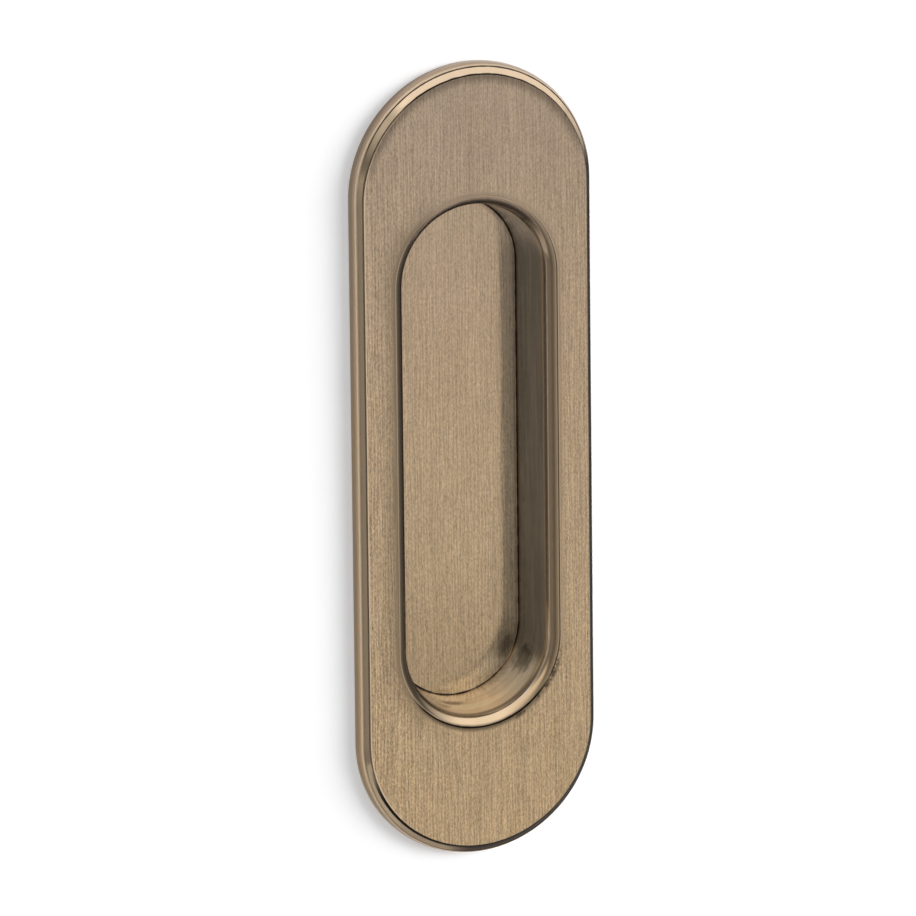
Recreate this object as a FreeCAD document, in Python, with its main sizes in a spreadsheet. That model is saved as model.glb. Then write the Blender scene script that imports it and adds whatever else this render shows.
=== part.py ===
"""Oval flush pull for a pocket door: one metal casting, a moulded plate with a finger recess.

The pull stands upright. +Z runs up its length, -Y points out of the door into the room, and the
origin is the middle of the plate on its back plane, which lies on the face of the door. All sizes
are in millimetres and degrees.
"""
import FreeCAD, Part
import math
import os

import Sketcher

# Driving dimensions: alias, value, what it is.
SIZES = [
    ("plate_length", 120.0, "overall length of the plate"),
    ("plate_width", 38.0, "overall width of the plate; its ends are half round"),
    ("plate_thick", 2.8, "from the back plane to the raised face"),
    ("moulding_width", 1.3, "plan width of the moulding round the raised face"),
    ("face_step", 0.25, "how far the raised face stands proud at both of its edges"),
    ("quirk", 0.05, "narrow flat at the foot of that step"),
    ("bevel_width", 0.6, "plan width from the face's edge to the fine line in the moulding"),
    ("bevel_drop", 0.8, "depth of that line below the face"),
    ("rim_flat", 0.1, "narrow flat between the fine line and the rim's curve"),
    ("rim_radius", 2.8, "radius of the rim's convex curve"),
    ("rim_edge", 0.35, "straight edge of the rim where it meets the door"),
    ("opening_length", 81.2, "length of the opening in the raised face"),
    ("opening_width", 25.8, "width of the opening in the raised face"),
    ("lip_radius", 1.6, "rounding between the face and the recess wall"),
    ("recess_depth", 9.6, "from the raised face to the floor of the recess"),
    ("wall_draft", 6.3, "slope of the recess wall, in degrees"),
    ("floor_corner", 0.25, "radius in the corner between the wall and the floor"),
    ("wall_thick", 1.4, "thickness of the cup's wall"),
    ("floor_thick", 1.4, "thickness of the cup's floor"),
    ("cup_corner", 1.2, "outer rounding of the cup's floor"),
    ("skin_thick", 1.4, "thickness of the plate where its back is hollowed"),
    ("back_rim", 1.5, "width of the rim that bears on the door"),
    ("relief_bevel", 0.5, "width of the bevel in the corners of the hollow"),
]

CLEAR = 1.0  # how far a cutting section reaches out past the metal
NEAR = 1e-4  # an edge this close to a level or an outline lies on it
EDGE_SAMPLES = 5  # points tried along an edge
LOOP_SIDES = 4  # two straight sides and two half-round ends
# End radius and half the spacing that a slot outline is drawn with, before its sizes pull it true.
DRAWN_INNER = (10.0, 20.0)
DRAWN_OUTER = (20.0, 30.0)


def make_sheet(doc):
    """The table of driving dimensions."""
    sheet = doc.addObject("Spreadsheet::Sheet", "sizes")
    for row, (alias, value, note) in enumerate(SIZES, 1):
        sheet.set(f"A{row}", alias)
        sheet.set(f"B{row}", str(value))
        sheet.set(f"C{row}", note)
        sheet.setAlias(f"B{row}", alias)
    doc.recompute()


def origin_plane(body, role):
    """One of the body's own three base planes."""
    return next(plane for plane in body.Origin.OriginFeatures if plane.Role == role)


def new_sketch(body, name, role, offset=None):
    """An empty sketch on a base plane, or parallel to it at the distance that offset gives."""
    sketch = body.newObject("Sketcher::SketchObject", name)
    sketch.AttachmentSupport = (origin_plane(body, role), [""])
    sketch.MapMode = "FlatFace"
    if offset:
        sketch.setExpression("AttachmentOffset.Base.z", offset)
    return sketch


def bind(sketch, name, kind, items, expression):
    """Adds a named constraint at the size drawn and ties it to an expression."""
    if kind == "Radius":
        value = sketch.Geometry[items[0]].Radius
    else:
        reach = sketch.getPoint(items[2], items[3]) - sketch.getPoint(items[0], items[1])
        value = reach.x if kind == "DistanceX" else reach.y
    index = sketch.addConstraint(Sketcher.Constraint(kind, *items, value))
    sketch.renameConstraint(index, name)
    sketch.setExpression("Constraints." + name, expression)


def datum(sketch, name):
    """The present value of a named constraint."""
    return sketch.getDatum(name).Value


def arc_crown(start, end, radius):
    """The middle of the arc of this radius that bulges to the right of the way to its end."""
    chord = end - start
    bulge = radius - math.sqrt(radius ** 2 - (chord.Length / 2) ** 2)
    outward = FreeCAD.Vector(chord.y, -chord.x).normalize()
    return (start + end) * 0.5 + outward * bulge


def add_obround(sketch, half_width, spacing, tag="", drawn=DRAWN_INNER):
    """Draws a slot shape with half-round ends, upright and centred on the sketch's origin.

    half_width and spacing are expressions: the radius of the ends and the distance between
    their centres. drawn is that radius and half that distance as first drawn.
    """
    radius, rise = drawn
    first = sketch.GeometryCount
    up = FreeCAD.Vector(0, 0, 1)
    top, foot = FreeCAD.Vector(0, rise, 0), FreeCAD.Vector(0, -rise, 0)
    side = FreeCAD.Vector(radius, 0, 0)
    sketch.addGeometry([
        Part.LineSegment(foot + side, top + side),
        Part.ArcOfCircle(Part.Circle(top, up, radius), 0, math.pi),
        Part.LineSegment(top - side, foot - side),
        Part.ArcOfCircle(Part.Circle(foot, up, radius), math.pi, 2 * math.pi),
    ], False)
    right, crown, left, toe = range(first, first + 4)
    sketch.addConstraint([
        Sketcher.Constraint("Tangent", right, 2, crown, 1),
        Sketcher.Constraint("Tangent", crown, 2, left, 1),
        Sketcher.Constraint("Tangent", left, 2, toe, 1),
        Sketcher.Constraint("Tangent", toe, 2, right, 1),
        Sketcher.Constraint("Vertical", right),
        Sketcher.Constraint("Equal", crown, toe),
        Sketcher.Constraint("Symmetric", crown, 3, toe, 3, -1, 1),
    ])
    bind(sketch, tag + "half_width", "Radius", (crown,), half_width)
    bind(sketch, tag + "spacing", "DistanceY", (toe, 3, crown, 3), spacing)


def ring_edges(shape, level, half_width, spacing):
    """Names of the edges of the slot-shaped loop that lies at Y = level."""
    names = []
    for number, edge in enumerate(shape.Edges, 1):
        points = edge.discretize(EDGE_SAMPLES)
        across = [math.hypot(p.x, max(abs(p.z) - spacing / 2, 0)) for p in points]
        if all(abs(p.y - level) < NEAR for p in points) and all(
            abs(reach - half_width) < NEAR for reach in across
        ):
            names.append(f"Edge{number}")
    if len(names) != LOOP_SIDES:
        raise RuntimeError(f"{len(names)} edges at Y {level:.3f}, half width {half_width:.3f}")
    return names


def add_fillet(body, name, edges, radius):
    """Rounds the named edges of the body as it stands."""
    base = body.Tip
    fillet = body.newObject("PartDesign::Fillet", name)
    fillet.Base = (base, edges)
    fillet.setExpression("Radius", radius)
    body.Document.recompute()


def add_bevel(body, name, edges, width):
    """Bevels the named edges of the body as it stands."""
    base = body.Tip
    bevel = body.newObject("PartDesign::Chamfer", name)
    bevel.Base = (base, edges)
    bevel.setExpression("Size", width)
    body.Document.recompute()


def add_flange(body):
    """The plate as a plain slab, from the back plane out to the raised face."""
    outline = new_sketch(body, "plate_outline", "XZ_Plane")
    add_obround(outline, "<<sizes>>.plate_width / 2", "<<sizes>>.plate_length - <<sizes>>.plate_width")
    flange = body.newObject("PartDesign::Pad", "flange")
    flange.Profile = outline
    flange.setExpression("Length", "<<sizes>>.plate_thick")
    body.Document.recompute()
    return outline


def add_moulding(body, outline):
    """Cuts the moulding round the raised face, by one section led round the plate's outline.

    From the face outwards the section has a small step and a narrow flat at its foot, a bevel, the
    fine line, a narrow flat, and the rim with its convex curve and a short straight edge.
    """
    sheet = body.Document.getObject("sizes")
    half, thick = sheet.plate_width / 2, sheet.plate_thick
    face = half - sheet.moulding_width
    line = -thick + sheet.bevel_drop
    corners = [
        FreeCAD.Vector(face, -thick - CLEAR),
        FreeCAD.Vector(face, -thick + sheet.face_step),
        FreeCAD.Vector(face + sheet.quirk, -thick + sheet.face_step),
        FreeCAD.Vector(face + sheet.bevel_width, line),
        FreeCAD.Vector(face + sheet.bevel_width + sheet.rim_flat, line),
        FreeCAD.Vector(half, -sheet.rim_edge),
        FreeCAD.Vector(half + CLEAR, -sheet.rim_edge),
        FreeCAD.Vector(half + CLEAR, -thick - CLEAR),
    ]
    face_side, step, bevel, flat, rim, land, outer, top = range(len(corners))
    section = new_sketch(body, "moulding_section", "XY_Plane")
    for number, corner in enumerate(corners):
        following = corners[(number + 1) % len(corners)]
        if number == rim:
            crown = arc_crown(corner, following, sheet.rim_radius)
            section.addGeometry(Part.Arc(corner, crown, following), False)
        else:
            section.addGeometry(Part.LineSegment(corner, following), False)
    for number in range(len(corners)):
        following = (number + 1) % len(corners)
        section.addConstraint(Sketcher.Constraint("Coincident", number, 2, following, 1))
    for number in (face_side, outer):
        section.addConstraint(Sketcher.Constraint("Vertical", number))
    for number in (step, flat, land, top):
        section.addConstraint(Sketcher.Constraint("Horizontal", number))
    bind(section, "face_edge", "DistanceX", (-1, 1, step, 1),
         "<<sizes>>.plate_width / 2 - <<sizes>>.moulding_width")
    bind(section, "step_level", "DistanceY", (step, 1, -1, 1),
         "<<sizes>>.plate_thick - <<sizes>>.face_step")
    bind(section, "quirk_width", "DistanceX", (step, 1, step, 2), "<<sizes>>.quirk")
    bind(section, "line_across", "DistanceX", (step, 1, bevel, 2), "<<sizes>>.bevel_width")
    bind(section, "line_level", "DistanceY", (flat, 1, -1, 1),
         "<<sizes>>.plate_thick - <<sizes>>.bevel_drop")
    bind(section, "flat_width", "DistanceX", (flat, 1, flat, 2), "<<sizes>>.rim_flat")
    bind(section, "rim_curve", "Radius", (rim,), "<<sizes>>.rim_radius")
    bind(section, "rim_foot", "DistanceX", (-1, 1, land, 1), "<<sizes>>.plate_width / 2")
    bind(section, "rim_level", "DistanceY", (land, 1, -1, 1), "<<sizes>>.rim_edge")
    bind(section, "reach_out", "DistanceX", (land, 1, land, 2), str(CLEAR))
    bind(section, "reach_up", "DistanceY", (outer, 2, -1, 1), f"<<sizes>>.plate_thick + {CLEAR}")

    moulding = body.newObject("PartDesign::SubtractivePipe", "moulding")
    moulding.Profile = section
    moulding.Spine = (outline, [f"Edge{side}" for side in range(1, LOOP_SIDES + 1)])
    body.Document.recompute()


def add_cup(body):
    """The cup behind the plate and the finger recess inside it, with one slope and even walls."""
    doc = body.Document
    spacing = "<<sizes>>.opening_length - <<sizes>>.opening_width"
    mouth = new_sketch(body, "recess_mouth", "XZ_Plane", "<<sizes>>.plate_thick - <<sizes>>.face_step")
    add_obround(
        mouth,
        "<<sizes>>.opening_width / 2 - <<sizes>>.quirk"
        " - <<sizes>>.lip_radius * tan((90 - <<sizes>>.wall_draft) / 2 * 1 deg)",
        spacing,
    )

    back = new_sketch(body, "cup_outline", "XZ_Plane")
    add_obround(
        back,
        "recess_mouth.Constraints.half_width + 1 mm * (<<sizes>>.wall_thick"
        " - (<<sizes>>.plate_thick - <<sizes>>.face_step) * tan(<<sizes>>.wall_draft * 1 deg))",
        spacing,
    )
    cup = body.newObject("PartDesign::Pad", "cup")
    cup.Profile = back
    cup.Reversed = True
    cup.setExpression("Length", "<<sizes>>.recess_depth + <<sizes>>.floor_thick - <<sizes>>.plate_thick")
    cup.setExpression("TaperAngle", "-<<sizes>>.wall_draft")
    doc.recompute()

    recess = body.newObject("PartDesign::Pocket", "finger_recess")
    recess.Profile = mouth
    recess.setExpression("Length", "<<sizes>>.recess_depth - <<sizes>>.face_step")
    recess.setExpression("TaperAngle", "-<<sizes>>.wall_draft")
    doc.recompute()

    opening = new_sketch(body, "opening_outline", "XZ_Plane", "<<sizes>>.plate_thick")
    add_obround(opening, "<<sizes>>.opening_width / 2", spacing)
    rebate = body.newObject("PartDesign::Pocket", "opening_step")
    rebate.Profile = opening
    rebate.setExpression("Length", "<<sizes>>.face_step")
    doc.recompute()
    return mouth, back


def finish_edges(body, mouth, back, hollow):
    """The lip of the opening, and the corners of the recess, the cup and the hollow."""
    sheet = body.Document.getObject("sizes")
    slope = math.tan(math.radians(sheet.wall_draft))
    spacing = datum(mouth, "spacing")
    mouth_half = datum(mouth, "half_width")
    back_half = datum(back, "half_width")
    step_level = -(sheet.plate_thick - sheet.face_step)
    floor_level = sheet.recess_depth - sheet.plate_thick
    cup_level = floor_level + sheet.floor_thick
    roof_level = sheet.skin_thick - sheet.plate_thick

    lip = ring_edges(body.Shape, step_level, mouth_half, spacing)
    add_fillet(body, "lip", lip, "<<sizes>>.lip_radius")
    floor_half = mouth_half - (sheet.recess_depth - sheet.face_step) * slope
    corner = ring_edges(body.Shape, floor_level, floor_half, spacing)
    add_fillet(body, "recess_corner", corner, "<<sizes>>.floor_corner")
    cup_half = back_half - cup_level * slope
    foot = ring_edges(body.Shape, cup_level, cup_half, spacing)
    add_fillet(body, "cup_rounding", foot, "<<sizes>>.cup_corner")
    roof = ring_edges(body.Shape, roof_level, back_half, spacing)
    roof += ring_edges(
        body.Shape, roof_level, datum(hollow, "outer_half_width"), datum(hollow, "outer_spacing")
    )
    add_bevel(body, "relief_corners", roof, "<<sizes>>.relief_bevel")


def add_relief(body):
    """The hollow in the plate's back, between the bearing rim and the cup."""
    hollow = new_sketch(body, "relief_outline", "XZ_Plane")
    add_obround(
        hollow,
        "plate_outline.Constraints.half_width - 1 mm * <<sizes>>.back_rim",
        "plate_outline.Constraints.spacing",
        "outer_",
        DRAWN_OUTER,
    )
    add_obround(
        hollow, "cup_outline.Constraints.half_width", "cup_outline.Constraints.spacing", "inner_"
    )
    relief = body.newObject("PartDesign::Pocket", "back_relief")
    relief.Profile = hollow
    relief.Reversed = True
    relief.setExpression("Length", "<<sizes>>.plate_thick - <<sizes>>.skin_thick")
    body.Document.recompute()
    return hollow


def build(doc):
    """The whole casting as one body."""
    make_sheet(doc)
    body = doc.addObject("PartDesign::Body", "flush_pull")
    body.Label = "flush_pull"
    outline = add_flange(body)
    add_moulding(body, outline)
    mouth, back = add_cup(body)
    hollow = add_relief(body)
    finish_edges(body, mouth, back, hollow)
    return body


def check(doc, parts):
    """Stops the build if any feature failed or a part is not one valid solid."""
    for item in doc.Objects:
        if "Invalid" in item.State or "Error" in item.State:
            raise RuntimeError(f"{item.Name} failed: {item.State}")
    for part in parts:
        shape = part.Shape
        if shape.isNull() or not shape.isValid() or len(shape.Solids) != 1:
            raise RuntimeError(f"{part.Label} is not one valid solid")


def main():
    doc = FreeCAD.newDocument("flush_pull")
    body = build(doc)
    doc.recompute()
    check(doc, [body])
    os.makedirs("parts", exist_ok=True)
    body.Shape.exportStep(f"parts/{body.Label}.step")
    box = body.Shape.optimalBoundingBox()
    print(f"{body.Label}: {box.XLength:.2f} x {box.YLength:.2f} x {box.ZLength:.2f} mm,",
          f"{body.Shape.Volume / 1000:.3f} cm3")


main()
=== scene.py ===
"""Antique brass flush pull on a door face, under soft studio light.

Lengths are in metres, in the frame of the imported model: +Z runs up the pull, -Y points out of the
door into the room, and the origin is the middle of the plate on its back plane.
"""

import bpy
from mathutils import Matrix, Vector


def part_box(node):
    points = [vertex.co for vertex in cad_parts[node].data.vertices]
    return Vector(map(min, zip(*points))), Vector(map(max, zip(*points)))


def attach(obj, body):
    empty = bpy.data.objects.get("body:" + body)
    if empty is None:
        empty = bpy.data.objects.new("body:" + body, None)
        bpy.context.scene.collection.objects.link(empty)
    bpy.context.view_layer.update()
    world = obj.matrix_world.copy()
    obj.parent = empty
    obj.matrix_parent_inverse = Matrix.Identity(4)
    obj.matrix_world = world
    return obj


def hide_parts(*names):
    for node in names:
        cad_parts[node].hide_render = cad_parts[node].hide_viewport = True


bl_info = {
    "name": "Flush Pull Finish",
    "version": (1, 0, 0),
    "blender": (4, 5, 0),
    "location": "3D View > Sidebar > Flush Pull",
    "description": "Antique brass casting, door face and studio light for an oval flush pull",
    "category": "Object",
}

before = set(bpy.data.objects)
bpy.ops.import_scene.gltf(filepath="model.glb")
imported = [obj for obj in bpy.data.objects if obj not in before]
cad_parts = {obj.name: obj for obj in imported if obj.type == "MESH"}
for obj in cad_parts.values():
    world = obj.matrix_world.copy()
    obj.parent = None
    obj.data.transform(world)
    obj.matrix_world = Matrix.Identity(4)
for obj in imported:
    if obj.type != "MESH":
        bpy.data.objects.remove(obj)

import math

import bmesh
import bpy
from mathutils import Quaternion, Vector

MM = 0.001
PULL = "flush_pull"
BODY = "root"
LOW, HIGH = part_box(PULL)
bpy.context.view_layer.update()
END_STEPS = 72  # sides of each half-round end
RIM_STEPS = 14  # sides of the rim's convex curve
BEND_STEP = 6  # degrees that one side of a rounded corner turns, at most
SUPPORT = 0.06 * MM  # from a rounded corner to the ring that keeps the flat beside it flat
CAP_MARGIN = (1.0 * MM, 2.0 * MM)  # flat left round the caps of the recess floor and the cup's back
NARROW = 0.05 * MM  # flat at the foot of the raised face, and the fine line's width and depth
ROLL_EASE = 0.85  # share of the largest radius that fits the dip of the face towards the opening
EVERYWHERE = 1.0  # a zone without limits
LAMP_PLACE = (1.05, -0.62, 0.15)
LAMP_SIZE = (1.1, 0.7)
LAMP_SPREAD = math.radians(60)
BACKDROP_WHITE = (0.8, 0.8, 0.81, 1.0)
BACKDROP_LIFT = 0.35  # how much brighter the backdrop is seen than it lights the pull


def length(name, value, description):
    """A length property whose default is given in millimetres."""
    return bpy.props.FloatProperty(
        name=name, description=description, default=value * MM, unit="LENGTH", precision=5
    )


def share(name, value, description):
    """A property that runs from 0 to 1."""
    return bpy.props.FloatProperty(
        name=name, description=description, default=value, min=0.0, max=1.0, subtype="FACTOR"
    )


def colour(name, value, description):
    """A colour property, in linear values."""
    return bpy.props.FloatVectorProperty(
        name=name, description=description, default=value, size=3, min=0.0, max=1.0, subtype="COLOR"
    )


def turn(name, degrees, description):
    """An angle property whose default is given in degrees."""
    return bpy.props.FloatProperty(
        name=name, description=description, default=math.radians(degrees), unit="ROTATION"
    )


def number(name, value, description):
    """A plain number property."""
    return bpy.props.FloatProperty(name=name, description=description, default=value)


class CastingSection(bpy.types.PropertyGroup):
    """Where the edges of the casting lie, across its section and in depth."""

    outer_spacing: length(
        "Plate centres", (HIGH.z - HIGH.x) / MM, "Half the spacing of the plate's end centres"
    )
    inner_spacing: length(
        "Recess centres", 27.7, "Half the spacing of the end centres of the opening and the recess"
    )
    end_moulding: length("End moulding", 0.3, "How much wider the moulding is at the plate's ends")
    end_line: length("End line", 0.15, "How much farther out its fine line runs at the plate's ends")
    rim: length("Rim", HIGH.x / MM, "Half width of the plate")
    rim_edge: length("Rim edge", 0.35, "Straight edge of the rim where it meets the door")
    rim_radius: length("Rim radius", 2.8, "Radius of the rim's convex curve")
    face: length("Face", LOW.y / MM, "Level of the raised face")
    face_edge: length("Face edge", 17.7, "Half width of the raised face")
    face_roll: length("Face roll", 1.0, "Width over which the face dips towards the opening")
    face_dip: length("Face dip", 0.05, "How far the face dips at the opening")
    step_level: length("Step level", -2.55, "Level of the foot of the step round the raised face")
    line_edge: length("Line edge", 18.35, "Half width of the fine line in the moulding")
    line_level: length("Line level", -2.0, "Level of that line")
    opening: length("Opening", 12.9, "Half width of the opening in the face")
    lip_radius: length("Lip radius", 1.6, "Rounding between the face and the recess wall")
    mouth: length("Mouth", 11.417, "Half width of the recess wall where it would meet the step")
    wall_draft: turn("Wall draft", 6.3, "Slope of the recess wall")
    floor: length("Floor", 6.8, "Level of the recess floor")
    floor_corner: length("Floor corner", 0.25, "Radius between the wall and the floor")
    hollow_edge: length("Hollow edge", 17.5, "Half width of the hollow in the plate's back")
    hollow_roof: length("Hollow roof", -1.4, "Level of the roof of that hollow")
    hollow_bevel: length("Hollow bevel", 0.5, "Width of the bevels in the hollow's corners")
    cup_edge: length("Cup edge", 12.535, "Half width of the cup at the back plane")
    cup_back: length("Cup back", HIGH.y / MM, "Level of the back of the cup")
    cup_corner: length("Cup corner", 1.2, "Rounding of the cup's back")
    sharp: length("Sharp edge", 0.03, "Radius that is left on a sharp edge")
    eased: length("Eased edge", 0.07, "Radius of an edge that brushing has eased")


class BrassFinish(bpy.types.PropertyGroup):
    """Colours and surface of the brushed, darkened brass, with the colours of its painted light and
    shade.
    """

    brass: colour("Brass", (0.43, 0.315, 0.2), "Brushed brass at mid height")
    upper: colour("Upper tone", (0.382, 0.286, 0.205), "Greyer brass towards the top")
    lower: colour("Lower tone", (0.45, 0.32, 0.185), "More golden brass towards the bottom")
    scratch: colour("Scratch", (0.66, 0.5, 0.33), "Bare metal in the brush strokes")
    # Partly polish, partly a painted highlight on the moulding, lip and edges; also the upper recess
    # wall's tone.
    polish_and_highlight: colour("Burnish", (0.7, 0.54, 0.37), "Metal polished bright on the moulding and lip")
    # A painted highlight on the bevel at the left.
    painted_edge_highlight: colour("Rubbed edge", (0.92, 0.71, 0.46), "Bare metal on the left moulding")
    # Painted light on the lower recess wall, and a painted highlight just below the lip at the right.
    painted_recess_light: colour("Rubbed wall", (0.95, 0.87, 0.77), "Bright metal on the lower recess wall")
    # Painted shade on the right recess wall and its lip.
    painted_recess_shade: colour("Tarnish", (0.53, 0.565, 0.61), "Grey tarnish on the right recess wall")
    # The painted shade darkens towards this colour too.
    patina_and_shade: colour("Patina", (0.014, 0.011, 0.009), "Black-brown patina left in the corners")
    skin: colour("Casting skin", (0.2, 0.15, 0.1), "Dull skin of the unseen back")
    stroke_width: length("Stroke width", 0.17, "Width of a pair of brush strokes")
    stroke_length: length("Stroke length", 5.0, "Length of a brush stroke")
    grain: share("Grain", 0.52, "Contrast of the brush strokes")
    brushed: share("Brushed roughness", 0.19, "Roughness of the face and the recess wall")
    polished: share("Polished roughness", 0.13, "Roughness of the floor, the lip and the moulding")


class StudioSetting(bpy.types.PropertyGroup):
    """Door face, floor, lamps and camera."""

    azimuth: turn("Azimuth", -23.14, "How far the camera stands to the left of straight on")
    elevation: turn("Elevation", 16.07, "How far the camera looks down")
    roll: turn("Roll", -0.64, "Tilt of the camera about its line of sight")
    distance: length("Distance", 1782.5, "From the camera to the middle of the face")
    lens: number("Lens", 477.6, "Focal length in millimetres")
    aim_right: length("Aim right", -3.0, "How far right of the face's middle the camera aims")
    aim_up: length("Aim up", 0.81, "How far above the face's middle the camera aims")
    floor_level: length("Floor level", -400.0, "Height of the floor")
    room: number("Room", 0.36, "Brightness of the unlit room")
    window: number("Window", 1.0, "Brightness of the soft light in front and at the right")
    ceiling: number("Ceiling", 1.45, "Brightness of the soft light above")
    behind: number("Behind", 0.85, "Brightness of the room behind the door face")
    ambient: share("Ambient", 0.2, "Share of the room's light that falls on dull surfaces")
    side_lamp: number("Side lamp", 16.0, "Brightness of the lamp that lights the door face")


def place(tree, kind, **settings):
    """Adds a node and sets its plain properties."""
    node = tree.nodes.new(kind)
    for key, value in settings.items():
        setattr(node, key, value)
    return node


def plug(tree, value, socket):
    """Links a socket, or sets a plain value, on an input."""
    if isinstance(value, bpy.types.NodeSocket):
        tree.links.new(value, socket)
    else:
        socket.default_value = value


def math_of(tree, operation, *values):
    """One Math node; returns its result."""
    node = place(tree, "ShaderNodeMath", operation=operation)
    for value, socket in zip(values, node.inputs):
        plug(tree, value, socket)
    return node.outputs[0]


def ramp_of(tree, value, start, end, low=0.0, high=1.0):
    """A smooth step from low to high as value goes from start to end."""
    node = place(tree, "ShaderNodeMapRange", interpolation_type="SMOOTHSTEP")
    for item, socket in zip((value, start, end, low, high), node.inputs):
        plug(tree, item, socket)
    return node.outputs["Result"]


def product(tree, *values):
    """The product of several values."""
    result = values[0]
    for value in values[1:]:
        result = math_of(tree, "MULTIPLY", result, value)
    return result


def highest(tree, *values):
    """The highest of several values."""
    result = values[0]
    for value in values[1:]:
        result = math_of(tree, "MAXIMUM", result, value)
    return result


def tint_of(tree, mask, under, over, blend="MIX"):
    """Mixes two colours by a mask."""
    node = place(tree, "ShaderNodeMix", data_type="RGBA", blend_type=blend)
    plug(tree, mask, node.inputs["Factor"])
    for value, socket in ((under, node.inputs[6]), (over, node.inputs[7])):
        plug(tree, value if isinstance(value, bpy.types.NodeSocket) else (*value, 1.0), socket)
    return node.outputs[2]


def grey_of(tree, value):
    """A grey of the given value."""
    node = place(tree, "ShaderNodeCombineXYZ")
    for socket in node.inputs:
        plug(tree, value, socket)
    return node.outputs[0]


def noise_of(tree, vector, scale, detail=2.0, roughness=0.5):
    """Noise round 0.5 over the given coordinates."""
    node = place(tree, "ShaderNodeTexNoise")
    plug(tree, vector, node.inputs["Vector"])
    plug(tree, scale, node.inputs["Scale"])
    node.inputs["Detail"].default_value = detail
    node.inputs["Roughness"].default_value = roughness
    return node.outputs["Fac"]


def axes_of(tree, vector):
    """The three parts of a vector."""
    node = place(tree, "ShaderNodeSeparateXYZ")
    plug(tree, vector, node.inputs[0])
    return node.outputs


def new_group(name, inputs, outputs):
    """An empty shader group; returns its tree, its inputs and its outputs."""
    tree = bpy.data.node_groups.new(name, "ShaderNodeTree")
    for label, kind in inputs:
        tree.interface.new_socket(label, in_out="INPUT", socket_type=kind)
    for label, kind in outputs:
        tree.interface.new_socket(label, in_out="OUTPUT", socket_type=kind)
    start = tree.nodes.new("NodeGroupInput")
    end = tree.nodes.new("NodeGroupOutput")
    return tree, start.outputs, end.inputs


def use_group(tree, group, **values):
    """Places a group with its own values; returns its outputs."""
    node = place(tree, "ShaderNodeGroup", node_tree=group)
    for key, value in values.items():
        plug(tree, value, node.inputs[key.replace("_", " ").title()])
    return node.outputs


def slot_distance_group():
    """How far a point lies from the centre line of a slot shape, and in which direction."""
    tree, given, result = new_group(
        "Slot distance",
        [("Position", "NodeSocketVector"), ("Spacing", "NodeSocketFloat")],
        [("Across", "NodeSocketFloat"), ("Side", "NodeSocketFloat"), ("Up", "NodeSocketFloat")],
    )
    axes = axes_of(tree, given["Position"])
    rise = math_of(tree, "ABSOLUTE", axes["Z"])
    rise = math_of(tree, "MAXIMUM", math_of(tree, "SUBTRACT", rise, given["Spacing"]), 0.0)
    square = math_of(tree, "MULTIPLY", rise, rise)
    square = math_of(tree, "MULTIPLY_ADD", axes["X"], axes["X"], square)
    across = math_of(tree, "SQRT", square)
    rise = math_of(tree, "MULTIPLY", rise, math_of(tree, "SIGN", axes["Z"]))
    plug(tree, across, result["Across"])
    plug(tree, math_of(tree, "DIVIDE", axes["X"], across), result["Side"])
    plug(tree, math_of(tree, "DIVIDE", rise, across), result["Up"])
    return tree


def edge_line_group():
    """A line of a given reach along an edge that runs round the casting, 1 on the edge itself."""
    tree, given, result = new_group(
        "Edge line",
        [
            ("Across", "NodeSocketFloat"),
            ("Level", "NodeSocketFloat"),
            ("Edge Across", "NodeSocketFloat"),
            ("Edge Level", "NodeSocketFloat"),
            ("Reach", "NodeSocketFloat"),
            ("Core", "NodeSocketFloat"),
        ],
        [("Mask", "NodeSocketFloat")],
    )
    side = math_of(tree, "SUBTRACT", given["Across"], given["Edge Across"])
    rise = math_of(tree, "SUBTRACT", given["Level"], given["Edge Level"])
    square = math_of(tree, "MULTIPLY_ADD", side, side, math_of(tree, "MULTIPLY", rise, rise))
    core = math_of(tree, "MULTIPLY", given["Reach"], given["Core"])
    mask = ramp_of(tree, math_of(tree, "SQRT", square), given["Reach"], core)
    plug(tree, mask, result["Mask"])
    return tree


def brushed_grain_group():
    """Brush strokes that run up and down the pull."""
    tree, given, result = new_group(
        "Brushed grain",
        [
            ("Position", "NodeSocketVector"),
            ("Stroke Width", "NodeSocketFloat"),
            ("Stroke Length", "NodeSocketFloat"),
        ],
        [("Tone", "NodeSocketFloat"), ("Scratches", "NodeSocketFloat"), ("Bands", "NodeSocketFloat")],
    )
    axes = axes_of(tree, given["Position"])

    def strokes(widen, lengthen, detail=1.0):
        """Noise that counts stroke widths across and stroke lengths along."""
        across = math_of(tree, "MULTIPLY", given["Stroke Width"], widen)
        along = math_of(tree, "MULTIPLY", given["Stroke Length"], lengthen)
        vector = place(tree, "ShaderNodeCombineXYZ")
        for axis, size in (("X", across), ("Y", across), ("Z", along)):
            plug(tree, math_of(tree, "DIVIDE", axes[axis], size), vector.inputs[axis])
        return noise_of(tree, vector.outputs[0], 1.0, detail)

    tone = math_of(tree, "MULTIPLY", strokes(1.0, 0.7), 0.8)
    tone = math_of(tree, "MULTIPLY_ADD", strokes(0.9, 0.08), 1.6, tone)
    drift = math_of(tree, "MULTIPLY", strokes(6.0, 4.0), 18.0)
    spacing = math_of(tree, "MULTIPLY", given["Stroke Width"], 0.49)
    turns = math_of(tree, "DIVIDE", axes["X"], spacing)
    ripple = math_of(tree, "SINE", math_of(tree, "ADD", turns, drift))
    tone = math_of(tree, "MULTIPLY_ADD", ripple, 0.17, tone)
    plug(tree, math_of(tree, "DIVIDE", tone, 2.5), result["Tone"])
    plug(tree, ramp_of(tree, strokes(0.8, 0.5), 0.62, 0.76), result["Scratches"])
    plug(tree, strokes(20.0, 8.0), result["Bands"])
    return tree


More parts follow.
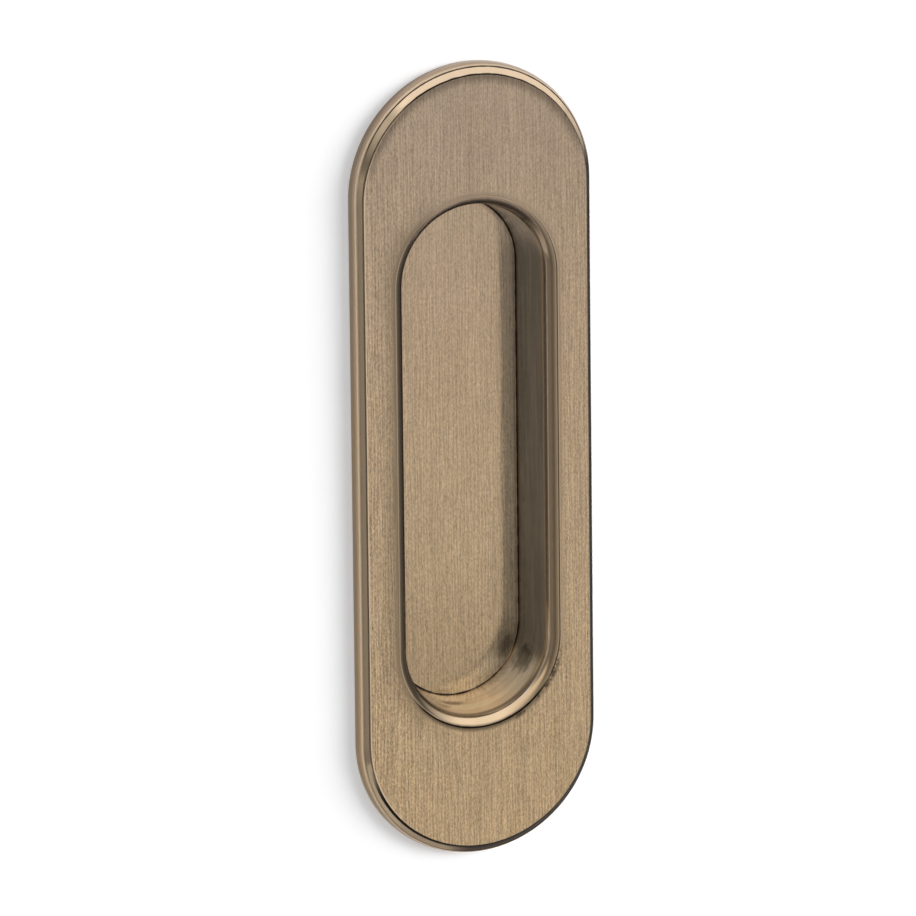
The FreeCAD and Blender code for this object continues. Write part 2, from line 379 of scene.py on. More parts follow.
def blotch_group():
    """A ragged mark of a given place and half size."""
    tree, given, result = new_group(
        "Blotch",
        [
            ("Position", "NodeSocketVector"),
            ("Centre", "NodeSocketVector"),
            ("Half Size", "NodeSocketVector"),
            ("Ragged", "NodeSocketFloat"),
        ],
        [("Mask", "NodeSocketFloat")],
    )
    offset = place(tree, "ShaderNodeVectorMath", operation="SUBTRACT")
    plug(tree, given["Position"], offset.inputs[0])
    plug(tree, given["Centre"], offset.inputs[1])
    scaled = place(tree, "ShaderNodeVectorMath", operation="DIVIDE")
    plug(tree, offset.outputs[0], scaled.inputs[0])
    plug(tree, given["Half Size"], scaled.inputs[1])
    reach = place(tree, "ShaderNodeVectorMath", operation="LENGTH")
    plug(tree, scaled.outputs[0], reach.inputs[0])
    reach = math_of(tree, "ADD", reach.outputs["Value"], given["Ragged"])
    plug(tree, ramp_of(tree, reach, 1.5, 0.9), result["Mask"])
    return tree


def moulding_spacings(section):
    """Half the spacing of the end centres of the rim, and of the fine line in the moulding."""
    rim = section.outer_spacing + section.end_moulding
    return rim, rim + section.end_line


def floor_edge(section):
    """Half width of the recess floor, where it would meet the drafted wall."""
    return section.mouth - (section.floor - section.step_level) * math.tan(section.wall_draft)


def lip_end(section):
    """Half width and level of the line where the lip's rounding runs out into the wall."""
    draft = section.wall_draft
    cut = section.lip_radius / math.tan((math.pi / 2 + draft) / 2)
    return section.mouth - cut * math.sin(draft), section.step_level + cut * math.cos(draft)


class BrassSurface:
    """What the effects on the brass share: its nodes, rings, edges, zones, noise and grain.

    A ring measures from the centre line of a slot shape. An edge holds the ring that it runs round,
    its half width and its level. A zone is a mask that is 1 on one part of the casting.
    """

    def __init__(self, tree, section, finish):
        self.tree, self.section, self.finish = tree, section, finish
        self.position = place(tree, "ShaderNodeTexCoord").outputs["Object"]
        axes = axes_of(tree, self.position)
        self.sideways, self.level, self.height = axes["X"], axes["Y"], axes["Z"]
        distance = slot_distance_group()
        self.inner, self.outer, self.fine = (
            use_group(tree, distance, position=self.position, spacing=spacing)
            for spacing in (
                section.inner_spacing, section.outer_spacing, moulding_spacings(section)[1],
            )
        )
        self.edge_group = edge_line_group()
        self.wander = noise_of(tree, self.position, 700.0, 3.0)
        self.mottle = noise_of(tree, self.position, 900.0, 4.0, 0.6)
        self.grain = use_group(
            tree, brushed_grain_group(), position=self.position,
            stroke_width=finish.stroke_width, stroke_length=finish.stroke_length,
        )
        self.name_edges()
        self.mask_sides()
        self.mask_parts()

    def name_edges(self):
        """Where the edges lie that carry black patination, painted shade and painted highlights."""
        section = self.section
        self.opening_edge = (self.inner, section.opening, section.face)
        self.step_foot = (self.inner, section.opening, section.step_level)
        self.lip_foot = (self.inner, *lip_end(section))
        self.floor_corner = (self.inner, floor_edge(section), section.floor)
        self.face_edge = (self.outer, section.face_edge, section.face)
        self.moulding_foot = (self.outer, section.face_edge, section.step_level)
        self.fine_line = (self.fine, section.line_edge, section.line_level)
        self.rim_foot = (self.outer, section.rim, 0.0)

    def facing(self, ring, side, up, start, end):
        """The part of a ring on one side: 0 where its direction reaches start, 1 at end."""
        way = math_of(self.tree, "MULTIPLY", ring["Up"], up)
        way = math_of(self.tree, "MULTIPLY_ADD", ring["Side"], side, way)
        return ramp_of(self.tree, way, start, end)

    def mask_sides(self):
        """The zones that are sides of the recess and of the plate."""
        inner, outer = self.inner, self.outer
        self.left = self.facing(inner, -1.0, 0.0, 0.2, 0.8)
        self.right = self.facing(inner, 1.0, 0.0, 0.2, 0.8)
        self.top = self.facing(inner, 0.0, 1.0, 0.3, 0.75)
        self.bottom = self.facing(inner, 0.0, -1.0, 0.3, 0.75)
        self.lower_half = self.facing(inner, 0.4, -0.92, -0.1, 0.6)
        self.lower_right = self.facing(inner, 0.75, -0.66, 0.75, 0.95)
        self.plate_left = self.facing(outer, -1.0, 0.0, 0.5, 0.9)
        self.plate_top = self.facing(outer, 0.0, 1.0, 0.1, 0.5)
        self.plate_upper_left = self.facing(outer, -0.85, 0.53, 0.93, 0.985)
        self.plate_lower_left = self.facing(outer, -0.6, -0.8, 0.3, 0.8)
        self.plate_bottom = self.facing(outer, -0.3, -0.95, 0.25, 0.75)
        self.plate_lower_right = self.facing(outer, 0.7, -0.7, 0.25, 0.65)

    def mask_parts(self):
        """The zones that are faces of the casting: the flats, the wall and the moulding."""
        tree, section, level = self.tree, self.section, self.level
        across_inner, across_outer = self.inner["Across"], self.outer["Across"]
        self.face = ramp_of(tree, level, section.face + 0.15 * MM, section.face + 0.08 * MM)
        self.recessed = ramp_of(
            tree, across_inner, section.opening + 0.1 * MM, section.opening - 0.05 * MM
        )
        at_floor = ramp_of(tree, level, section.floor - 0.4 * MM, section.floor - 0.1 * MM)
        self.floor = product(tree, self.recessed, at_floor)
        self.flat = highest(tree, self.face, self.floor)
        self.shaped = self.without(self.flat)
        below_lip = ramp_of(
            tree, level, section.step_level + 0.75 * MM, section.step_level + 1.2 * MM
        )
        self.wall = product(tree, self.recessed, self.shaped, below_lip)
        self.rim = ramp_of(
            tree, self.fine["Across"], section.line_edge, section.line_edge + 0.1 * MM
        )
        self.moulding = product(
            tree,
            ramp_of(tree, level, section.face + 0.12 * MM, section.face + 0.2 * MM),
            ramp_of(tree, across_outer, section.face_edge - 0.1 * MM, section.face_edge - 0.05 * MM),
            ramp_of(tree, across_outer, section.line_edge + 0.6 * MM, section.line_edge + 0.4 * MM),
        )
        away_from_edge = ramp_of(
            tree, across_inner, section.opening, section.opening + 1.1 * MM, 0.35, 1.0
        )
        on_flat = product(tree, self.flat, away_from_edge)
        self.brushed = highest(tree, on_flat, product(tree, self.floor, 0.85))
        self.back = self.mask_back()

    def mask_back(self):
        """The unseen side: the hollow of the plate, its rim and the outside of the cup."""
        tree, section, level = self.tree, self.section, self.level
        drafted = math_of(
            tree, "MULTIPLY_ADD", level, math.tan(section.wall_draft), self.inner["Across"]
        )
        between_skins = section.cup_edge - 0.5 * MM
        outside = ramp_of(tree, drafted, between_skins - 0.1 * MM, between_skins + 0.1 * MM)
        under_face = ramp_of(
            tree, level, section.hollow_roof - 0.1 * MM, section.hollow_roof - 0.05 * MM
        )
        hollow = ramp_of(
            tree, self.outer["Across"], section.hollow_edge + 0.05 * MM, section.hollow_edge
        )
        bearing = ramp_of(tree, level, -0.02 * MM, -0.01 * MM)
        behind_plate = product(tree, outside, under_face, highest(tree, hollow, bearing))
        cup_back = ramp_of(tree, level, section.floor + 0.5 * MM, section.floor + 0.7 * MM)
        return highest(tree, behind_plate, cup_back)

    def without(self, mask):
        """What the mask leaves out."""
        return math_of(self.tree, "SUBTRACT", 1.0, mask)

    def edge_line(self, edge, shift, reach, core, strength, zone=EVERYWHERE):
        """A line beside an edge, a little wider and narrower on its way.

        The shift goes out from the centre line and back towards the door. It and the reach are in
        millimetres, and the core is the share of the reach that is full.
        """
        ring, across, edge_level = edge
        stray = 0.2 * min(reach, 0.25)
        reach = ramp_of(
            self.tree, self.wander, 0.3, 0.7, (reach - stray) * MM, (reach + stray) * MM
        )
        mask = use_group(
            self.tree, self.edge_group, across=ring["Across"], level=self.level,
            edge_across=across + shift[0] * MM, edge_level=edge_level + shift[1] * MM,
            reach=reach, core=core,
        )["Mask"]
        return product(self.tree, mask, strength, zone)

    def edge_lines(self, *rows):
        """The highest of several lines, each given as a row of edge_line's values."""
        return highest(self.tree, *(self.edge_line(*row) for row in rows))


def height_tone(cast):
    """Brass that turns from greyish at the top to golden at the bottom, brighter on the shaped edges,
    partly polish and partly painted highlight.
    """
    tree, finish = cast.tree, cast.finish
    tone = tint_of(tree, ramp_of(tree, cast.height, 0.0, HIGH.z), finish.brass, finish.upper)
    tone = tint_of(tree, ramp_of(tree, cast.height, 0.0, LOW.z), tone, finish.lower)
    # The shaped edges get a brighter tone, partly polish and partly a painted highlight; the lip at the
    # right and top is kept out of it as painted shade.
    shaded_lip = product(tree, cast.recessed, highest(tree, cast.right, cast.top))
    polished = product(
        tree, cast.shaped, cast.without(cast.rim), cast.without(cast.wall),
        cast.without(shaded_lip), 0.55,
    )
    return tint_of(tree, polished, tone, finish.polish_and_highlight)


def wall_tone(cast):
    """The recess wall: painted light below, where it faces up, and painted shade in grey at the right,
    where it faces away from the light, in sweeps that follow the wall round.
    """
    tree, floor, finish = cast.tree, cast.section.floor, cast.finish
    # Noise that changes quickly with depth and slowly along the wall.
    stretched = place(tree, "ShaderNodeCombineXYZ")
    for value, scale, socket in zip(
        (cast.level, cast.inner["Up"], cast.height), (1400.0, 1.5, 60.0), stretched.inputs
    ):
        plug(tree, math_of(tree, "MULTIPLY", value, scale), socket)
    sweeps = noise_of(tree, stretched.outputs[0], 1.0, 3.0)
    # Painted light on the lower half of the wall; painted shade in grey on its right side.
    tone = tint_of(tree, cast.lower_half, finish.polish_and_highlight, finish.painted_recess_light)
    tone = tint_of(tree, cast.right, tone, finish.painted_recess_shade)
    # Painted light: a little brighter towards the lip than near the floor.
    shade = ramp_of(tree, cast.level, floor - 1.5 * MM, floor - 6.0 * MM, 1.0, 1.1)
    shade = product(tree, shade, ramp_of(tree, sweeps, 0.3, 0.7, 0.87, 1.13))
    return tint_of(tree, 1.0, tone, grey_of(tree, shade), "MULTIPLY")


def brush_tone(cast, tone):
    """Adds the brush strokes, broad bands, a shadow low on the floor and bare scratches."""
    tree, finish = cast.tree, cast.finish
    contrast = product(
        tree,
        math_of(tree, "MULTIPLY_ADD", cast.brushed, 0.95 * finish.grain, 0.05 * finish.grain),
        ramp_of(tree, cast.height, HIGH.z, LOW.z, 0.85, 1.2),
        ramp_of(tree, cast.sideways, -5.0 * MM, LOW.x, 1.0, 1.3),
    )
    swing = product(tree, math_of(tree, "SUBTRACT", cast.grain["Tone"], 0.5), contrast)
    low_floor = product(tree, cast.floor, ramp_of(tree, cast.height, -12.0 * MM, -36.0 * MM))
    shade = product(
        tree,
        math_of(tree, "MULTIPLY_ADD", swing, 3.0, 1.0),
        ramp_of(tree, cast.grain["Bands"], 0.3, 0.7, 0.97, 1.03),
        math_of(tree, "MULTIPLY_ADD", low_floor, -0.17, 1.0),
    )
    tone = tint_of(tree, 1.0, tone, grey_of(tree, shade), "MULTIPLY")
    scratches = product(tree, cast.grain["Scratches"], cast.brushed, 0.35)
    return tint_of(tree, scratches, tone, finish.scratch)


def highlight_tone(cast, tone):
    """Adds painted highlights along the edges, and painted shade in grey on the lip at the right."""
    finish = cast.finish
    # Painted highlights: the face's edge and the bevel at the left, the rim beside the fine line, the
    # wall just above the floor, and the step at the right.
    highlight_lines = cast.edge_lines(
        (cast.face_edge, (-0.08, 0.0), 0.14, 0.3, 0.8, cast.plate_left),
        (cast.fine_line, (0.2, 0.2), 0.35, 0.3, 0.7),
        (cast.fine_line, (-0.3, -0.25), 0.6, 0.5, 0.9, cast.plate_left),
        (cast.floor_corner, (0.08, -0.45), 0.3, 0.3, 0.7),
        (cast.step_foot, (0.0, -0.1), 0.3, 0.5, 0.35, cast.right),
    )
    # Painted shade in grey on the lip at the right.
    lip_shade = cast.edge_line(cast.lip_foot, (0.12, -0.4), 0.5, 0.6, 0.5, cast.right)
    # A painted highlight on the wall just below the lip at the right.
    lip_highlight = cast.edge_line(cast.lip_foot, (0.0, 0.12), 0.26, 0.3, 0.8, cast.right)
    # A painted highlight on the bevel at the left.
    bevel_highlight = cast.edge_line(cast.fine_line, (-0.32, -0.3), 0.5, 0.4, 0.7, cast.plate_left)
    for mask, over in (
        (highlight_lines, finish.polish_and_highlight),
        (lip_shade, finish.painted_recess_shade),
        (lip_highlight, finish.painted_recess_light),
        (bevel_highlight, finish.painted_edge_highlight),
    ):
        tone = tint_of(cast.tree, mask, tone, over)
    return tone


def wall_blotches(cast):
    """Dark blotches on the recess wall: one low at the right and two thin ones at the bottom."""
    tree, blotch = cast.tree, blotch_group()
    blotches = []
    for centre, half_size, strength in (
        ((10.1, 3.3, -33.0), (3.0, 3.2, 3.0), 0.66),
        ((-2.6, 3.4, -38.4), (3.6, 1.0, 1.1), 0.6),
        ((-4.8, 1.6, -38.0), (2.8, 0.8, 1.0), 0.5),
    ):
        mask = use_group(
            tree, blotch, position=cast.position, centre=[item * MM for item in centre],
            half_size=[item * MM for item in half_size], ragged=cast.mottle,
        )["Mask"]
        blotches.append(product(tree, mask, cast.wall, strength))
    return highest(tree, *blotches)


def painted_brown_shade(cast):
    """Painted shade that fades away from the edges, round the opening and on the lip, floor, face,
    moulding and rim's foot, and over the rim at the left.
    """
    tree = cast.tree
    ragged = product(tree, cast.lower_right, ramp_of(tree, cast.mottle, 0.4, 0.6, 0.3, 1.0))
    return highest(
        tree,
        cast.edge_lines(
            (cast.opening_edge, (0.0, 0.0), 4.0, 0.1, 0.24, cast.left),
            (cast.opening_edge, (0.0, 0.0), 1.4, 0.15, 0.42, cast.left),
            (cast.opening_edge, (0.0, 0.0), 0.8, 0.05, 0.2, cast.top),
            (cast.opening_edge, (0.0, 0.0), 0.8, 0.05, 0.7, cast.bottom),
            (cast.opening_edge, (0.0, 0.0), 1.0, 0.05, 0.22, cast.right),
            (cast.opening_edge, (0.1, 0.0), 0.9, 0.2, 0.85, ragged),
            (cast.step_foot, (0.0, -0.1), 0.35, 0.4, 0.45, cast.left),
            (cast.step_foot, (-0.3, 0.0), 0.85, 0.3, 0.45, product(tree, cast.right, cast.recessed)),
            (cast.step_foot, (-1.03, 0.34), 0.95, 0.1, 0.93, cast.top),
            (cast.lip_foot, (0.35, -0.92), 1.7, 0.3, 0.78, cast.left),
            (cast.lip_foot, (0.13, -0.37), 0.6, 0.3, 0.85, cast.top),
            (cast.lip_foot, (0.0, 0.0), 0.9, 0.15, 0.7, cast.bottom),
            # Painted shadow of the right wall on the floor, and a painted reflection of the dark wall
            # in the floor's lower right.
            (cast.floor_corner, (0.0, 0.0), 0.9, 0.05, 0.5, product(tree, cast.right, cast.floor)),
            (cast.floor_corner, (0.0, 0.0), 2.0, 0.05, 0.35,
             product(tree, cast.lower_right, cast.floor)),
            (cast.face_edge, (0.0, 0.0), 1.7, 0.05, 0.5, product(tree, cast.plate_top, cast.face)),
            (cast.fine_line, (-0.3, 0.0), 0.8, 0.5, 0.48, cast.plate_lower_left),
            (cast.fine_line, (-0.3, -0.3), 0.6, 0.6, 0.6, cast.plate_upper_left),
            (cast.rim_foot, (0.0, 0.0), 0.9, 0.2, 0.2),
        ),
        product(tree, cast.plate_left, cast.rim, 0.17),
    )


def black_patina_and_shade(cast):
    """Black patination in the sharp corners; painted shade on the lip at the top and left, and on the
    moulding facing down and right.
    """
    tree, section, across = cast.tree, cast.section, cast.outer["Across"]
    near_face = ramp_of(tree, across, section.face_edge + 0.5 * MM, section.face_edge + 0.3 * MM)
    over_bevel = ramp_of(tree, across, section.face_edge + 0.3 * MM, section.line_edge, 1.0, 0.9)
    return highest(
        tree,
        cast.edge_lines(
            (cast.moulding_foot, (0.02, 0.0), 0.24, 0.35, 0.7),
            (cast.moulding_foot, (0.02, 0.0), 0.26, 0.35, 1.0, cast.without(cast.plate_left)),
            (cast.fine_line, (0.03, 0.0), 0.15, 0.5, 0.9, cast.plate_top),
            # Painted shade along the lip's edge at the top and the left.
            (cast.lip_foot, (0.0, -0.07), 0.3, 0.5, 1.0, cast.top),
            (cast.lip_foot, (0.11, -0.44), 0.25, 0.3, 1.0, cast.left),
            (cast.step_foot, (-0.03, 0.0), 0.36, 0.35, 1.0, cast.bottom),
            (cast.floor_corner, (0.0, 0.0), 0.28, 0.35, 1.0, cast.without(cast.bottom)),
            (cast.floor_corner, (0.0, 0.0), 0.24, 0.35, 1.0, cast.bottom),
        ),
        # Painted shade on the moulding where it faces down and to the right.
        product(tree, cast.plate_lower_right, cast.moulding, over_bevel),
        product(tree, cast.plate_bottom, cast.moulding, near_face),
    )


def brass_roughness(cast, black):
    """Rougher on the face and the wall than on the rest, and dull in the black patination and painted
    shade and on the back.
    """
    tree, finish = cast.tree, cast.finish
    rough = ramp_of(
        tree, highest(tree, cast.face, cast.wall), 0.0, 1.0, finish.polished, finish.brushed
    )
    smoothest = math_of(tree, "SUBTRACT", rough, 0.06)
    rough = math_of(tree, "MULTIPLY_ADD", cast.grain["Tone"], 0.12, smoothest)
    in_black = ramp_of(tree, black, 0.2, 1.0, 0.0, 0.5)
    return highest(tree, rough, in_black, product(tree, cast.back, 0.55))


def brass_relief(cast):
    """The brush strokes on the flats and the rough skin of the back, as a normal."""
    tree = cast.tree
    bump = place(tree, "ShaderNodeBump")
    bump.inputs["Strength"].default_value = 0.5
    bump.inputs["Distance"].default_value = 0.012 * MM
    strokes = product(
        tree, cast.grain["Tone"], math_of(tree, "MULTIPLY_ADD", cast.brushed, 0.97, 0.03)
    )
    skin = product(tree, cast.mottle, cast.back)
    plug(tree, math_of(tree, "ADD", strokes, skin), bump.inputs["Height"])
    return bump.outputs[0]


def antique_brass(section, finish):
    """Brushed brass, patinated black in its sharp corners, with polished edges, painted highlights and
    shade, and a dull back.
    """
    material = bpy.data.materials.new("antique_brass_finish")
    material.use_nodes = True
    tree = material.node_tree
    shader = tree.nodes["Principled BSDF"]
    cast = BrassSurface(tree, section, finish)
    tone = tint_of(tree, cast.wall, height_tone(cast), wall_tone(cast))
    tone = highlight_tone(cast, brush_tone(cast, tone))
    black = black_patina_and_shade(cast)
    # Patination, painted shade and the dark blotches all darken towards the same colour.
    patina_and_shade = highest(tree, black, painted_brown_shade(cast), wall_blotches(cast))
    tone = tint_of(tree, patina_and_shade, tone, finish.patina_and_shade)
    skin = tint_of(tree, cast.mottle, finish.skin, finish.brass)
    plug(tree, tint_of(tree, cast.back, tone, skin), shader.inputs["Base Color"])
    shader.inputs["Metallic"].default_value = 1.0
    plug(tree, brass_roughness(cast, black), shader.inputs["Roughness"])
    plug(tree, brass_relief(cast), shader.inputs["Normal"])
    return material


def backdrop_material(name, see_through):
    """White that takes soft shadows, and can be seen through from behind."""
    material = bpy.data.materials.new(name)
    material.use_nodes = True
    tree = material.node_tree
    tree.nodes.clear()
    surface = place(tree, "ShaderNodeBsdfDiffuse")
    surface.inputs["Color"].default_value = BACKDROP_WHITE
    path = place(tree, "ShaderNodeLightPath")
    lift = place(tree, "ShaderNodeEmission")
    seen = [path.outputs[f"Is {kind} Ray"] for kind in ("Camera", "Glossy", "Transmission")]
    plug(tree, product(tree, highest(tree, *seen), BACKDROP_LIFT), lift.inputs["Strength"])
    both = place(tree, "ShaderNodeAddShader")
    plug(tree, surface.outputs[0], both.inputs[0])
    plug(tree, lift.outputs[0], both.inputs[1])
    result = both.outputs[0]
    if see_through:
        clear = place(tree, "ShaderNodeBsdfTransparent")
        mix = place(tree, "ShaderNodeMixShader")
        plug(tree, place(tree, "ShaderNodeNewGeometry").outputs["Backfacing"], mix.inputs["Fac"])
        plug(tree, result, mix.inputs[1])
        plug(tree, clear.outputs[0], mix.inputs[2])
        result = mix.outputs[0]
    plug(tree, result, place(tree, "ShaderNodeOutputMaterial").inputs["Surface"])
    return material


def make_mesh(name, build):
    """A mesh object whose geometry the given function adds."""
    mesh = bpy.data.meshes.new(name)
    work = bmesh.new()
    build(work)
    work.to_mesh(mesh)
    work.free()
    made = bpy.data.objects.new(name, mesh)
    bpy.context.scene.collection.objects.link(made)
    return made


def slot_loop(half_width, spacing, level):
    """Points of an upright slot outline, anticlockwise seen from the room, from the upper right."""
    points = []
    for middle, start in ((spacing, 0.0), (-spacing, math.pi)):
        for step in range(END_STEPS + 1):
            angle = start + math.pi * step / END_STEPS
            points.append((
                half_width * math.cos(angle), level, middle + half_width * math.sin(angle)
            ))
    return points


def rounded(corners):
    """A section line through the corners, each rounded by its own radius.

    A corner holds its half width, its level, its spacing and its radius. The first and the last
    are not rounded. A rounded corner gets a ring on each flank that keeps the flats flat.
    """
    line = []
    for index, (across, level, spacing, radius) in enumerate(corners):
        here = Vector((across, level))
        if radius == 0 or index in (0, len(corners) - 1):
            line.append((across, level, spacing))
            continue
        before = Vector(corners[index - 1][:2]) - here
        after = Vector(corners[index + 1][:2]) - here
        room = min(before.length, after.length)
        before.normalize()
        after.normalize()
        opening = before.angle(after)
        cut = radius / math.tan(opening / 2)
        centre = here + (before + after).normalized() * (radius / math.sin(opening / 2))
        start, end = here + before * cut - centre, here + after * cut - centre
        bend = math.pi - opening
        steps = max(2, math.ceil(math.degrees(bend) / BEND_STEP))
        bend = math.copysign(bend, start.x * end.y - start.y * end.x)
        support = cut + min(0.6 * cut, SUPPORT)
        supported = support < 0.5 * room
        if supported:
            line.append((*(here + before * support), spacing))
        for step in range(steps + 1):
            angle = bend * step / steps
            cos, sin = math.cos(angle), math.sin(angle)
            spoke = Vector((start.x * cos - start.y * sin, start.x * sin + start.y * cos))
            line.append((*(centre + spoke), spacing))
        if supported:
            line.append((*(here + after * support), spacing))
    return line


def rim_curve(start, end, radius):
    """Shares and points of the rim's convex curve between two section points, without the first."""
    chord = end - start
    inward = Vector((-chord.y, chord.x)).normalized()
    centre = (start + end) / 2 + inward * math.sqrt(radius ** 2 - (chord.length / 2) ** 2)
    first = math.atan2(start.y - centre.y, start.x - centre.x)
    last = math.atan2(end.y - centre.y, end.x - centre.x)
    curve = []
    for step in range(1, RIM_STEPS + 1):
        part = step / RIM_STEPS
        angle = first + (last - first) * part
        curve.append((part, centre + radius * Vector((math.cos(angle), math.sin(angle)))))
    return curve


def casting_section(section):
    """The section of the casting, from the recess floor over the face and rim to the cup's back."""
    inner, outer = section.inner_spacing, section.outer_spacing
    ends, fine = moulding_spacings(section)
    sharp, eased = section.sharp, section.eased
    floor_half = floor_edge(section)
    roll_half = section.face_roll / 2
    roll_radius = roll_half / math.tan(math.atan(section.face_dip / roll_half) / 2)
    rim_start = Vector((section.line_edge + NARROW, section.line_level))
    rim_end = Vector((section.rim, -section.rim_edge))
    bevel = section.hollow_bevel
    cup_foot = section.cup_edge - section.cup_back * math.tan(section.wall_draft)
    corners = [
        (floor_half - CAP_MARGIN[0], section.floor, inner, 0),
        (floor_half, section.floor, inner, section.floor_corner),
        (section.mouth, section.step_level, inner, section.lip_radius),
        (section.opening, section.step_level, inner, sharp / 3),
        (section.opening, section.face + section.face_dip, inner, eased),
        (section.opening + roll_half, section.face, inner, roll_radius * ROLL_EASE),
        (section.face_edge, section.face, outer, eased),
        (section.face_edge, section.step_level, outer, sharp / 3),
        (section.face_edge + NARROW, section.step_level, outer, sharp / 3),
        (section.line_edge, section.line_level + NARROW, fine, sharp / 2),
        (*rim_start, fine, sharp / 2),
        *((*point, fine + (ends - fine) * part, 0)
          for part, point in rim_curve(rim_start, rim_end, section.rim_radius)),
        (section.rim, 0, ends, sharp),
        (section.hollow_edge, 0, outer, sharp),
        (section.hollow_edge, section.hollow_roof + bevel, outer, sharp),
        (section.hollow_edge - bevel, section.hollow_roof, outer, sharp),
        (section.cup_edge + bevel, section.hollow_roof, inner, sharp),
        (section.cup_edge, section.hollow_roof + bevel, inner, sharp),
        (section.cup_edge, 0, inner, sharp),
        (cup_foot, section.cup_back, inner, section.cup_corner),
        (cup_foot - CAP_MARGIN[1], section.cup_back, inner, 0),
    ]
    return rounded(corners)


def lay_casting(work, section):
    """Leads the section round the slot outline and closes the floor and the cup's back."""
    rings = []
    for across, level, spacing in casting_section(section):
        rings.append([work.verts.new(point) for point in slot_loop(across, spacing, level)])
    count = len(rings[0])
    for ring, beyond in zip(rings, rings[1:]):
        for here in range(count):
            after = (here + 1) % count
            work.faces.new((ring[here], ring[after], beyond[after], beyond[here]))
    half = count // 2
    for ring in (rings[0], rings[-1]):
        for start in (0, half):
            low, high = start, start + half - 1
            while high - low > 1:
                corners = (ring[low], ring[low + 1], ring[high - 1], ring[high])
                work.faces.new(tuple(dict.fromkeys(corners)))
                low, high = low + 1, high - 1
        work.faces.new((ring[0], ring[half - 1], ring[half], ring[count - 1]))
    bmesh.ops.recalc_face_normals(work, faces=work.faces[:])
    for polygon in work.faces:
        polygon.smooth = True


def make_door_face():
    """The white face that the plate lies on, open behind the plate for the cup."""
    half_hole, spacing = 16.0 * MM, 34.0 * MM
    behind_plate = 0.05 * MM
    reach = 1.6

    def build(work):
        inner = [work.verts.new(point) for point in slot_loop(half_hole, spacing, behind_plate)]
        outer = []
        for vert in inner:
            way = Vector((vert.co.x, 0, vert.co.z)).normalized()
            stretch = reach / max(abs(way.x), abs(way.z))
            outer.append(work.verts.new((way.x * stretch, vert.co.y, way.z * stretch)))
        count = len(inner)
        for here in range(count):
            after = (here + 1) % count
            work.faces.new((outer[here], outer[after], inner[after], inner[here]))
        work.normal_update()
        if work.faces[:][0].normal.y > 0:
            bmesh.ops.reverse_faces(work, faces=work.faces[:])

    made = make_mesh("door_face", build)
    made.data.materials.append(backdrop_material("door_white", True))


def make_floor(studio):
    """The pale floor below the pull."""
    half, deep = 0.6, 0.6

    def build(work):
        corners = [(-half, -deep), (half, -deep), (half, 0), (-half, 0)]
        work.faces.new([work.verts.new((x, y, studio.floor_level)) for x, y in corners])

    made = make_mesh("floor", build)
    made.data.materials.append(backdrop_material("floor_white", False))


def add_side_lamp(brightness):
    """A broad soft lamp at the right, aimed at the pull and not mirrored in the metal."""
    data = bpy.data.lights.new("side_lamp", "AREA")
    data.shape = "RECTANGLE"
    data.size, data.size_y = LAMP_SIZE
    data.spread = LAMP_SPREAD
    # All of the lamp's power goes into its spread, so a narrow one needs less to be as bright.
    narrowing = 1 - LAMP_SPREAD / 2 / math.tan(LAMP_SPREAD / 2)
    data.energy = brightness * math.pi * data.size * data.size_y * narrowing
    lamp = bpy.data.objects.new("side_lamp", data)
    lamp.location = LAMP_PLACE
    lamp.rotation_euler = (-Vector(LAMP_PLACE)).to_track_quat("-Z", "Y").to_euler()
    lamp.visible_glossy = False
    bpy.context.scene.collection.objects.link(lamp)


def make_world(studio):
    """A dim room, soft light above, at the front right and far left, and brightness behind the door."""
    world = bpy.data.worlds.new("studio")
    bpy.context.scene.world = world
    world.use_nodes = True
    tree = world.node_tree
    ground = tree.nodes["Background"]
    axes = axes_of(tree, place(tree, "ShaderNodeTexCoord").outputs["Generated"])
    # The ceiling's light stops short of the far left.
    ceiling = product(
        tree, ramp_of(tree, axes["Z"], 0.0, 0.3), ramp_of(tree, axes["X"], -0.95, -0.5)
    )
    # A bearing is how far right a direction goes for each step out into the room.
    outward = math_of(tree, "MAXIMUM", math_of(tree, "MULTIPLY", axes["Y"], -1.0), 0.01)
    bearing = math_of(tree, "DIVIDE", axes["X"], outward)
    window = product(
        tree, ramp_of(tree, bearing, -0.7, 0.45), ramp_of(tree, bearing, 0.85, 0.68),
        ramp_of(tree, axes["Z"], -0.6, -0.45),
    )
    left_strip = ramp_of(tree, bearing, -3.5, -6.0, 0.0, 0.5)
    window = highest(tree, window, left_strip)
    strength = ramp_of(tree, window, 0.0, 1.0, studio.room, studio.window)
    strength = ramp_of(tree, ceiling, 0.0, 1.0, strength, studio.ceiling)
    path = place(tree, "ShaderNodeLightPath")
    strength = product(
        tree, strength, ramp_of(tree, path.outputs["Is Diffuse Ray"], 0.0, 1.0, 1.0, studio.ambient)
    )
    strength = ramp_of(tree, axes["Y"], 0.02, 0.1, strength, studio.behind)
    plug(tree, strength, ground.inputs["Strength"])
    ground.inputs["Color"].default_value = (1.0, 1.0, 1.0, 1.0)


def make_camera(studio):
    """A long lens at the viewing angle of the photograph."""
    data = bpy.data.cameras.new("camera")
    data.lens = studio.lens
    data.clip_end = 100.0
    camera = bpy.data.objects.new("camera", data)
    back = Vector((
        math.sin(studio.azimuth) * math.cos(studio.elevation),
        -math.cos(studio.azimuth) * math.cos(studio.elevation),
        math.sin(studio.elevation),
    ))
    facing = (-back).to_track_quat("-Z", "Y") @ Quaternion((0, 0, 1), studio.roll)
    aim = Vector((0, LOW.y, 0)) + facing @ Vector((studio.aim_right, studio.aim_up, 0))
    camera.location = aim + back * studio.distance
    camera.rotation_mode = "QUATERNION"
    camera.rotation_quaternion = facing
    bpy.context.scene.collection.objects.link(camera)
    bpy.context.scene.camera = camera


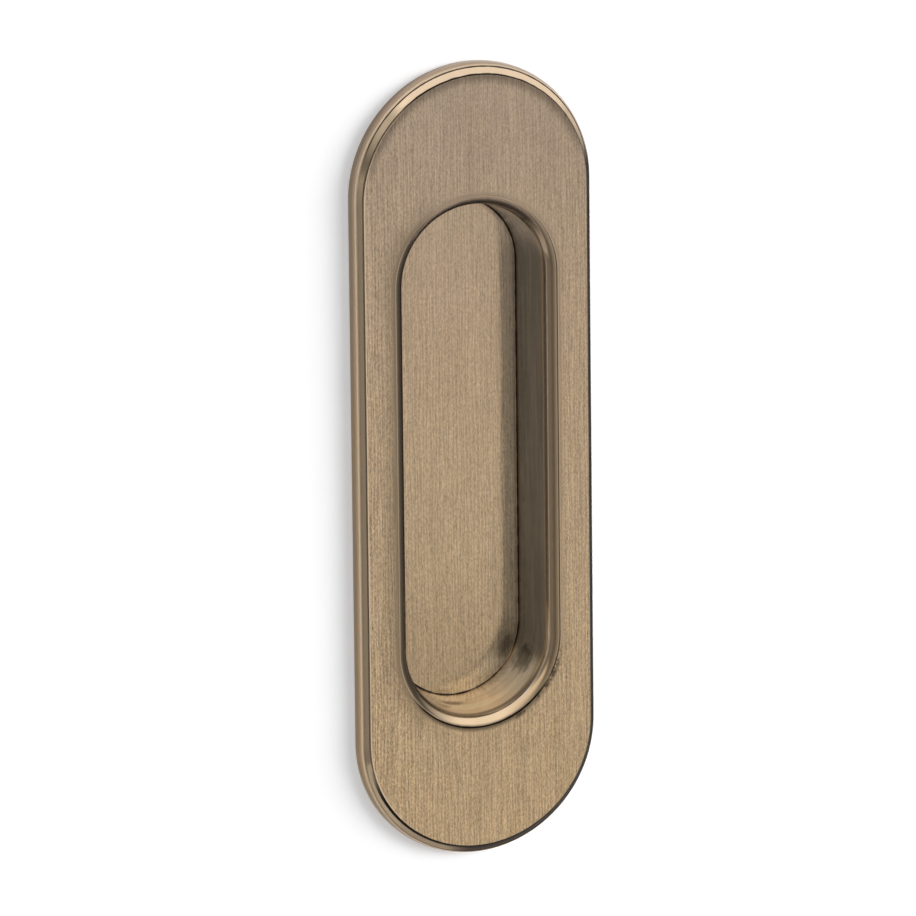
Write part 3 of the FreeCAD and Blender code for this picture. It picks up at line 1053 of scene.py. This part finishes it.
class FLUSHPULL_OT_build_casting(bpy.types.Operator):
    """Builds the casting with its moulding and recess, in brushed and darkened brass with painted light
    and shade
    """

    bl_idname = "flush_pull.build_casting"
    bl_label = "Build the casting"

    def execute(self, context):
        section, finish = context.scene.casting_section, context.scene.brass_finish
        casting = make_mesh("casting", lambda work: lay_casting(work, section))
        casting.data.materials.append(antique_brass(section, finish))
        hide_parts(PULL)
        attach(casting, BODY)
        return {"FINISHED"}


class FLUSHPULL_OT_set_stage(bpy.types.Operator):
    """Sets up the door face, the floor, the lamps and the camera"""

    bl_idname = "flush_pull.set_stage"
    bl_label = "Set the stage"

    def execute(self, context):
        studio = context.scene.studio_setting
        make_door_face()
        make_floor(studio)
        add_side_lamp(studio.side_lamp)
        make_world(studio)
        make_camera(studio)
        context.scene.view_settings.view_transform = "Standard"
        return {"FINISHED"}


class FLUSHPULL_PT_sidebar(bpy.types.Panel):
    """Lists the steps and their settings"""

    bl_idname = "FLUSHPULL_PT_sidebar"
    bl_label = "Flush Pull"
    bl_space_type = "VIEW_3D"
    bl_region_type = "UI"
    bl_category = "Flush Pull"

    def draw(self, context):
        for step, owners in (
            (FLUSHPULL_OT_build_casting, ("casting_section", "brass_finish")),
            (FLUSHPULL_OT_set_stage, ("studio_setting",)),
        ):
            self.layout.operator(step.bl_idname)
            for owner in owners:
                settings = getattr(context.scene, owner)
                for key in settings.__annotations__:
                    self.layout.prop(settings, key)


CLASSES = (
    CastingSection,
    BrassFinish,
    StudioSetting,
    FLUSHPULL_OT_build_casting,
    FLUSHPULL_OT_set_stage,
    FLUSHPULL_PT_sidebar,
)


def register():
    """Adds the classes, and their settings to the scene."""
    for item in CLASSES:
        bpy.utils.register_class(item)
    bpy.types.Scene.casting_section = bpy.props.PointerProperty(type=CastingSection)
    bpy.types.Scene.brass_finish = bpy.props.PointerProperty(type=BrassFinish)
    bpy.types.Scene.studio_setting = bpy.props.PointerProperty(type=StudioSetting)


def unregister():
    """Takes the settings and the classes away again."""
    for owner in ("casting_section", "brass_finish", "studio_setting"):
        delattr(bpy.types.Scene, owner)
    for item in reversed(CLASSES):
        bpy.utils.unregister_class(item)


def main():
    """Builds the casting and its stage."""
    register()
    bpy.ops.flush_pull.build_casting()
    bpy.ops.flush_pull.set_stage()


if __name__ == "__main__":
    main()
